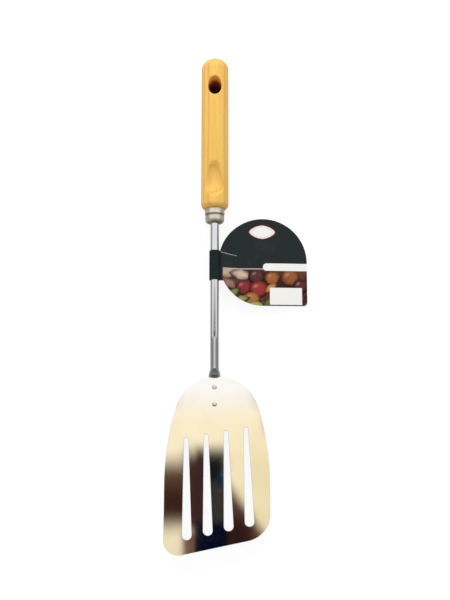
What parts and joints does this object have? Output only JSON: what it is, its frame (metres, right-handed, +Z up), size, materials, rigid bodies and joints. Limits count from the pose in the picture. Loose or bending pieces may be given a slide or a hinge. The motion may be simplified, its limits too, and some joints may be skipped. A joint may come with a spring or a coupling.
{
  "type": "slotted spatula",
  "caption": "Slotted kitchen turner with a slanted plated steel blade riveted to a cranked tube shank, a ferrule, a round wooden handle with a hanging hole and a plain card hang tag.",
  "frame": {"origin": "middle of the footprint, on the table that the turner lies on", "axes": "+Y along the shank from the blade to the handle's butt, +X to the right across the blade seen from the food side, +Z up from the table through the food side"},
  "size_m": [0.1072, 0.3814, 0.0208],
  "materials": {
    "handle_wood": "clear lacquer, satin",
    "ferrule_metal": "nickel plated",
    "shank_chrome": "bright plated",
    "blade_chrome": "bright plated",
    "rivet_metal": "bright plated",
    "tag_strap_card": "coated, matte black",
    "tag_face_card": "coated, printed"
  },
  "bodies": {
    "spatula": {"handle": "handle_wood", "ferrule": "ferrule_metal", "shank": "shank_chrome", "blade": "blade_chrome", "rivet_heel": "rivet_metal", "rivet_front": "rivet_metal"},
    "tag_loop": {"tag_strap": "tag_strap_card"},
    "tag": {"tag_card": "tag_face_card"}
  },
  "joints": [
    {"name": "tag_slide", "type": "slide", "parent": "spatula", "child": "tag_loop", "axis": [0, 1, 0], "range_m": [-0.037, 0.014]},
    {"name": "tag_swing", "type": "hinge", "parent": "tag_loop", "child": "tag", "pos_m": [-0.01694, 0.02417, 0.01042], "axis": [0, -1, 0], "continuous": true}
  ]
}
